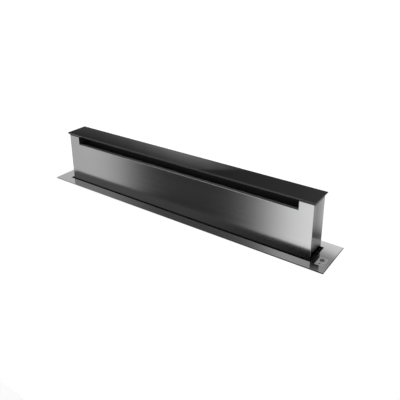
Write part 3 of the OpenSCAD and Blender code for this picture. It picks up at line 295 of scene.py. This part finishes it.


# The painted shadow lies over the last millimetres of the flange towards the near corner, where the
# photo shows the edge dark and less than a pixel further in.
flange_low, flange_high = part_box("counter_flange")
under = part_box("flange_gasket")[1].z
shadow_reach = 0.0003
near_shadow_reach = 0.0025
lap_front = 0.0035
lap_right = 0.002
right_x = flange_high.x - lap_right
shadow_x = right_x + near_shadow_reach / 2
card_left = -0.62
card_right = 0.86
card_front = -0.66
card_back = 0.2
flange_rim = [
    (flange_low.x, flange_low.y, under), (right_x, flange_low.y + lap_front, under),
    (right_x, flange_high.y, under),
]
shadow_rim = [
    (flange_low.x, flange_low.y - shadow_reach, 0.0),
    (shadow_x, flange_low.y + lap_front - near_shadow_reach, 0.0), (shadow_x, flange_high.y, 0.0),
]
worktop_rim = [
    (card_left, flange_low.y - shadow_reach, 0.0), *shadow_rim, (right_x, card_back, 0.0),
    (card_right, card_back, 0.0), (card_right, card_front, 0.0), (card_left, card_front, 0.0),
]
# How dark the painted shadow under the flange is along the card, at the card's own x.
shadow_level = [
    (near_lens([(x, 0.0, 0.0)])[0].x, level)
    for x, level in ((-0.45, 0.3), (-0.3, 0.2), (-0.1, 0.06), (0.1, 0.03), (0.46, 0.01))
]
worktop = stage_piece(
    "worktop", near_lens(worktop_rim), [tuple(range(len(worktop_rim)))], flat_glow("worktop_white"),
)
worktop_painted_shadow = stage_piece(
    "worktop_painted_shadow", near_lens(flange_rim + shadow_rim), [(0, 1, 4, 3), (1, 2, 5, 4)],
    flat_glow("painted_shadow_black", shadow_level),
)
for card in (worktop, worktop_painted_shadow):
    hide_from(card, "glossy", "diffuse", "shadow", "transmission")


# Flags at the foot. Black strips that only mirrors see, from above, giving painted reflections of
# shade: two just over the flange, for the dark foot that the photo shows on the panels, and two beside
# its edges, where the photo shows the flange's rim dark.
def strip_black(name, levels=None, fade_x=None, fade_y=None):
    """Black to mirrors from above, clear from below and where it fades out."""
    made, tree = empty(name)
    along, deep, up = apart(tree, on_piece(tree))
    level = table(tree, along, levels) if levels else 0.0
    glow = put(tree, "ShaderNodeEmission", (white, level))
    clear = put(tree, "ShaderNodeBsdfTransparent")
    back = put(tree, "ShaderNodeNewGeometry").outputs["Backfacing"]
    if fade_x:
        shows = do(tree, "MULTIPLY", table(tree, along, fade_x), table(tree, deep, fade_y))
        back = do(tree, "MAXIMUM", back, do(tree, "SUBTRACT", 1.0, shows))
    sides = put(tree, "ShaderNodeMixShader", (back, glow.outputs[0], clear.outputs[0]))
    put(tree, "ShaderNodeOutputMaterial", (sides.outputs[0],))
    return made


panel_low, panel_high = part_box("front_panel")
end_low, end_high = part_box("end_panel_right")
fading_reach = 0.025
fading_back = 0.055
foot_black = strip_black("foot_flag", [
    (-0.45, 0.1), (-0.25, 0.09), (0.0, 0.06), (0.3, 0.03), (0.45, 0.0),
])
rim_black = strip_black("rim_flag", [
    (-0.45, 0.3), (-0.2, 0.2), (-0.1, 0.1), (0.0, 0.07), (0.46, 0.05),
])
foot_fading = strip_black("foot_flag_fading", fade_x=[
    (end_high.x + out, share) for out, share in (
        (0.0, 1.0), (0.005, 0.97), (0.009, 0.87), (0.0115, 0.68), (0.0135, 0.57), (0.016, 0.46),
        (0.018, 0.32), (0.021, 0.13), (fading_reach, 0.0),
    )
], fade_y=[(-0.04, 1.0), (0.034, 1.0), (0.04, 0.6), (0.044, 0.3), (0.05, 0.05), (fading_back, 0.0)])
foot_gap = 0.0005
foot_left = 0.03
foot_right = 0.002
foot_front = 0.04
fading_front = 0.01
rim_gap = 0.0002
rim_reach = 0.012
strip_lift = 0.0003
over_flange = flange_high.z + strip_lift
on_worktop = 0.0001
for strip in (
    level_sheet(
        "foot_flag_front", panel_low.x - foot_left, panel_high.x + foot_right,
        panel_low.y - foot_front, panel_low.y - foot_gap, over_flange, foot_black,
    ),
    level_sheet(
        "foot_flag_right", end_high.x + foot_gap, end_high.x + fading_reach,
        end_low.y - fading_front, fading_back, over_flange, foot_fading,
    ),
    level_sheet(
        "rim_flag_front", flange_low.x, flange_high.x + rim_reach,
        flange_low.y - rim_reach, flange_low.y - rim_gap, on_worktop, rim_black,
    ),
    level_sheet(
        "rim_flag_right", flange_high.x + rim_gap, flange_high.x + rim_reach,
        flange_low.y, flange_high.y + rim_reach, on_worktop, rim_black,
    ),
):
    hide_from(strip, "camera", "diffuse", "shadow", "transmission")


# Chassis. Sheets of galvanised steel, 1.2 mm thick, folded and screwed at the
# corners, with galvanised brackets, guide rails and feet. The zinc shows its
# spangle: flat crystals, each a little lighter or duller.
def paint(material, *names):
    """Gives CAD nodes one material."""
    for name in names:
        nodes[name].data.materials.clear()
        nodes[name].data.materials.append(material)


def speckle(tree, place, scale, detail):
    """Cloudy noise over a piece; its level and its colour are returned."""
    noise = put(tree, "ShaderNodeTexNoise", (place,), noise_dimensions="3D")
    noise.inputs["Scale"].default_value = scale
    noise.inputs["Detail"].default_value = detail
    return noise.outputs[0], noise.outputs["Color"]


def ranged(tree, value, low, high, from_low=0.0, from_high=1.0):
    """Stretches a value's range to another, and holds it at the ends."""
    return put(tree, "ShaderNodeMapRange", (value, from_low, from_high, low, high)).outputs[0]


def scaled(tree, vector, factor):
    """A vector or colour times a factor."""
    values = (vector, None, None, factor)
    return put(tree, "ShaderNodeVectorMath", values, operation="SCALE").outputs[0]


def coated(tree, sockets):
    """A material's one shader, with its inputs fed by their names."""
    made = put(tree, "ShaderNodeBsdfPrincipled")
    for name, value in sockets.items():
        feed(tree, made.inputs[name], value)
    put(tree, "ShaderNodeOutputMaterial", (made.outputs[0],))
    return made


noise_low = 0.3
noise_high = 0.7


def galvanised(name, colour, crystals, rough):
    """Zinc-coated sheet; crystals is how many lie along a metre."""
    made, tree = empty(name)
    place = on_piece(tree)
    bend_scale = 1.7 * crystals
    bend_reach = 0.45 / crystals
    bend = speckle(tree, place, scale=bend_scale, detail=2.0)[1]
    bent = put(
        tree, "ShaderNodeVectorMath", (place, scaled(tree, bend, bend_reach)), operation="ADD",
    )
    cells = put(
        tree, "ShaderNodeTexVoronoi", (bent.outputs[0],), voronoi_dimensions="3D", feature="F1",
    )
    cells.inputs["Scale"].default_value = crystals
    pick = put(tree, "ShaderNodeSeparateColor", (cells.outputs["Color"],)).outputs
    cloud = speckle(tree, place, scale=9.0, detail=5.0)[0]
    shade = ranged(tree, pick[0], low=0.92, high=1.06)
    haze = ranged(tree, cloud, low=0.94, high=1.05, from_low=noise_low, from_high=noise_high)
    coated(tree, {
        "Metallic": 1.0,
        "Base Color": scaled(tree, colour, do(tree, "MULTIPLY", shade, haze)),
        "Roughness": ranged(tree, pick[1], low=rough * 0.8, high=rough * 1.2),
    })
    return made


zinc_sheet = galvanised("galvanised_sheet", (0.66, 0.675, 0.69), crystals=120.0, rough=0.42)
paint(
    zinc_sheet, "chassis_front", "chassis_back", "chassis_end_left", "chassis_end_right",
    "chassis_base", "guide_rails", "clamp_brackets", "foot_brackets", "motor_bracket",
    "tower_base_frame",
)


# Screws and rivets. Pan-head and jack screws in bright zinc plate, and blind
# rivets up both sides of the tower's rear panel.
def even(lines):
    """A grain with as many lines per metre in every direction."""
    return (lines, lines, lines)


def finish(name, colour, rough, grain, spread, metallic=0.0, bump=0.0, coat=0.0,
           across=None, shade=None):
    """A surface whose tone, gloss and height follow a noise; grain is its lines per metre.

    With across, the tangent's axis, the metal is brushed and its highlights stretch.
    With shade, a function of the tree, the tone is darkened where that gives less than 1: a painted
    shade.
    """
    made, tree = empty(name)
    lines = put(tree, "ShaderNodeMapping", (on_piece(tree),))
    lines.inputs["Scale"].default_value = grain
    fine = speckle(tree, lines.outputs[0], scale=1.0, detail=3.0)[0]
    wide = speckle(tree, lines.outputs[0], scale=0.17, detail=2.0)[0]
    tone = ranged(tree, fine, 1.0 - spread, 1.0 + spread, noise_low, noise_high)
    if shade:
        tone = do(tree, "MULTIPLY", tone, shade(tree))
    surface = coated(tree, {
        "Metallic": metallic,
        "Coat Weight": coat,
        "Coat Roughness": 0.08,
        "Base Color": scaled(tree, colour, tone),
        "Roughness": ranged(tree, wide, rough * 0.9, rough * 1.1, noise_low, noise_high),
    })
    if bump:
        relief = put(tree, "ShaderNodeBump")
        relief.inputs["Strength"].default_value = bump
        relief.inputs["Distance"].default_value = 0.0002
        tree.links.new(fine, relief.inputs["Height"])
        tree.links.new(relief.outputs[0], surface.inputs["Normal"])
    if across:
        surface.inputs["Anisotropic"].default_value = 0.75
        tangent = put(tree, "ShaderNodeTangent", direction_type="RADIAL", axis=across)
        tree.links.new(tangent.outputs[0], surface.inputs["Tangent"])
    return made


bright_zinc = finish(
    "bright_zinc", (0.72, 0.72, 0.74), rough=0.26, metallic=1.0, grain=even(700.0), spread=0.05,
)
paint(bright_zinc, "housing_screws", "clamp_screws", "tower_rivets")

# Flange. A stainless frame, 1.5 mm thick with a turned-down inner lip, that
# lies on the worktop on a foam gasket; the grain runs along it.
along_grain = (6.0, 900.0, 900.0)
flange_steel = finish(
    "steel_flat", (0.64, 0.64, 0.645), rough=0.035, metallic=1.0, grain=along_grain, spread=0.012,
    across="X",
)
paint(flange_steel, "counter_flange")
rubber = finish(
    "black_rubber", (0.012, 0.012, 0.012), rough=0.8, grain=even(900.0), spread=0.2, bump=0.3,
)
rubber.node_tree.nodes["Principled BSDF"].inputs["Specular IOR Level"].default_value = 0.15
paint(rubber, "flange_gasket")


# Tower. Four panels of brushed stainless sheet, the rear one riveted to the folds of the ends: the
# grain runs along the front and rear panels and up the ends. The photo shows them dark just below the
# cap; that band is a painted shade.
def painted_shade_below_cap(lap, fade, least):
    """A painted shade over the top of the panels, under the cap's edge: how far down, how soft and how
    dark.
    """
    low_z = panel_high.z - lap
    return lambda tree: ranged(tree, apart(tree, on_piece(tree))[2], 1.0, least, low_z, low_z + fade)


def facing_up(tree):
    """How far the surface faces up: 1 where it is level."""
    return apart(tree, put(tree, "ShaderNodeNewGeometry").outputs["Normal"])[2]


nearly_level = 0.9
upright_grain = (200.0, 200.0, 2.0)
# Both steels are darkened just below the cap: a painted shade under its edge.
front_steel = finish(
    "steel_along", (0.62, 0.62, 0.625), rough=0.13, metallic=1.0, grain=along_grain, spread=0.012,
    across="X", shade=painted_shade_below_cap(lap=0.0032, fade=0.0008, least=0.1),
)
end_steel = finish(
    "steel_upright", (0.58, 0.58, 0.585), rough=0.04, metallic=1.0, grain=upright_grain,
    spread=0.12, across="Y", shade=painted_shade_below_cap(lap=0.0095, fade=0.005, least=0.35),
)
paint(front_steel, "front_panel", "rear_panel")
paint(end_steel, "end_panel_left", "end_panel_right")

# The slot's turned-in lower lip is duller than the panel's face.
lip_rough = 0.35
lip_metallic = 0.88
tree = front_steel.node_tree
surface = tree.nodes["Principled BSDF"]
on_lip = do(tree, "GREATER_THAN", facing_up(tree), nearly_level)
face_rough = surface.inputs["Roughness"].links[0].from_socket
tree.links.new(mix(tree, on_lip, face_rough, lip_rough), surface.inputs["Roughness"])
tree.links.new(mix(tree, on_lip, 1.0, lip_metallic), surface.inputs["Metallic"])


# Glass cap. Black toughened glass, 6 mm thick with ground and polished edges,
# bonded to the tower's tray. Lowered, it lies on a rubber ledge in the opening.
def soften(name, width):
    """Breaks a node's sharp edges, as grinding or folding does."""
    joined = nodes[name].modifiers.new("joined", "WELD")
    joined.merge_threshold = 0.00001
    edge = nodes[name].modifiers.new("edge", "BEVEL")
    edge.width = width
    edge.segments = 3
    edge.limit_method = "ANGLE"
    edge.angle_limit = math.radians(40.0)


def two_colours(tree, second_where, first, second):
    """The first colour, and the second where the share is 1."""
    made = put(tree, "ShaderNodeMix", (second_where,), data_type="RGBA")
    feed(tree, made.inputs["A"], first)
    feed(tree, made.inputs["B"], second)
    return made.outputs["Result"]


face_black = (0.012, 0.012, 0.013, 1.0)
ground_black = (0.04, 0.04, 0.041, 1.0)
glass, tree = empty("black_glass")
ground = do(tree, "LESS_THAN", facing_up(tree), nearly_level)
coated(tree, {
    "Base Color": two_colours(tree, ground, face_black, ground_black),
    "Roughness": 0.03,
    "IOR": 1.5,
})
paint(glass, "glass_cap")
soften("glass_cap", width=0.0006)
soften("front_panel", width=0.0008)
paint(rubber, "cap_seat")

# Intake channel and cap tray. Folded steel sheet in satin black paint: the
# channel hangs behind the slot, and the tray carries the glass.
black_paint = finish(
    "black_paint", (0.014, 0.014, 0.014), rough=0.45, grain=even(1200.0), spread=0.08, bump=0.15,
)
paint(black_paint, "intake_channel", "cap_tray")

# Grease filters. Two frames of folded aluminium, each round a perforated
# sheet; they lift out of the intake channel by hand.
filter_metal = finish(
    "filter_aluminium", (0.74, 0.74, 0.75), rough=0.34, metallic=1.0, grain=even(300.0), spread=0.08,
)
paint(filter_metal, "grease_filter_left", "grease_filter_right")

# Lift. Moulded nylon shoes slide in the rails, and two cut steel racks hang
# from the tower. A cross shaft in bronze bearings turns both pinions; a small
# geared motor with a painted gearbox drives it through a nylon wheel.
nylon = finish(
    "natural_nylon", (0.8, 0.77, 0.67), rough=0.42, grain=even(250.0), spread=0.03, bump=0.05,
)
paint(nylon, "guide_shoes", "driven_gear")
cut_steel = finish(
    "cut_steel", (0.42, 0.42, 0.43), rough=0.3, metallic=1.0, grain=even(500.0), spread=0.1,
)
paint(
    cut_steel, "rack_left", "rack_right", "rack_pinion_left", "rack_pinion_right", "motor_gear",
)
ground_steel = finish(
    "ground_steel", (0.6, 0.6, 0.62), rough=0.2, metallic=1.0, grain=(1500.0, 30.0, 30.0), spread=0.05,
    across="X",
)
paint(ground_steel, "drive_shaft", "gearbox_shaft")
bronze = finish(
    "sintered_bronze", (0.6, 0.42, 0.2), rough=0.42, metallic=1.0, grain=even(1500.0), spread=0.18,
    bump=0.2,
)
paint(bronze, "shaft_bearings")
grey_paint = finish(
    "grey_paint", (0.11, 0.12, 0.13), rough=0.4, grain=even(900.0), spread=0.05, bump=0.25,
)
paint(grey_paint, "lift_gearbox")
nickel = finish(
    "nickel_can", (0.6, 0.6, 0.61), rough=0.25, metallic=1.0, grain=(30.0, 600.0, 600.0), spread=0.04,
)
paint(nickel, "lift_motor")
moulding = finish(
    "black_moulding", (0.026, 0.026, 0.028), rough=0.5, grain=even(1800.0), spread=0.15, bump=0.35,
)
paint(moulding, "position_sensors")

# Blower. A galvanised scroll with a flanged cover, and inside it a moulded
# wheel with forward-curved blades on the shaft of a painted motor.
paint(zinc_sheet, "blower_housing", "blower_cover")
paint(moulding, "inlet_ring", "impeller", "impeller_blades")
paint(ground_steel, "impeller_shaft")
paint(grey_paint, "blower_motor")

# Outlet. A folded galvanised transition from the scroll's square mouth to the
# round collar for the duct, with two aluminium flaps on one steel pin.
paint(zinc_sheet, "outlet_transition", "duct_collar")
mill_aluminium = finish(
    "mill_aluminium", (0.7, 0.7, 0.71), rough=0.36, metallic=1.0, grain=(400.0, 400.0, 15.0),
    spread=0.05,
)
paint(mill_aluminium, "damper_flap_front", "damper_flap_rear")
paint(ground_steel, "damper_pin")

# Controls. A thin satin plate bonded to the flange, with a dark round power
# button, a small chromed speed button and a dark lens, over a switch module.
satin_plate = finish(
    "satin_plate", (0.6, 0.6, 0.61), rough=0.42, metallic=1.0, grain=even(900.0), spread=0.04,
)
paint(satin_plate, "control_plate")
dark_button = finish(
    "dark_button", (0.035, 0.035, 0.04), rough=0.25, grain=even(900.0), spread=0.05, coat=0.6,
)
paint(dark_button, "power_button")
satin_chrome = finish(
    "satin_chrome", (0.66, 0.66, 0.67), rough=0.18, metallic=1.0, grain=even(900.0), spread=0.03,
)
paint(satin_chrome, "speed_button")
lens = finish("dark_lens", (0.035, 0.012, 0.012), rough=0.12, grain=even(900.0), spread=0.02, coat=1.0)
paint(lens, "indicator_lens")
paint(moulding, "switch_module")

# Control box. A moulded box with a screwed lid and a cable gland; the board in
# it has a green lacquer, and its parts stand on the front side. Its leads are
# rubber-sheathed and clipped along the chassis.
paint(moulding, "control_box", "control_box_lid", "cable_gland")
board_stand = 0.006
board_thick = 0.0016
board_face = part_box("control_board")[1].y - board_stand - board_thick
lacquer_skin = 0.0001
track_half = 0.07
lacquer_green = (0.02, 0.15, 0.06, 1.0)
track_green = (0.05, 0.24, 0.1, 1.0)
part_black = (0.03, 0.03, 0.035, 1.0)
board, tree = empty("circuit_board")
place = on_piece(tree)
tracks = put(
    tree, "ShaderNodeTexVoronoi", (place,), voronoi_dimensions="3D", feature="DISTANCE_TO_EDGE",
)
tracks.inputs["Scale"].default_value = 160.0
on_track = do(tree, "LESS_THAN", tracks.outputs["Distance"], track_half)
is_part = do(tree, "LESS_THAN", apart(tree, place)[1], board_face - lacquer_skin)
lacquer = two_colours(tree, on_track, lacquer_green, track_green)
coated(tree, {
    "Base Color": two_colours(tree, is_part, lacquer, part_black),
    "Roughness": 0.35,
})
paint(board, "control_board")
sheath = finish(
    "lead_sheath", (0.022, 0.022, 0.022), rough=0.55, grain=even(300.0), spread=0.1, bump=0.1,
)
paint(sheath, "wiring")
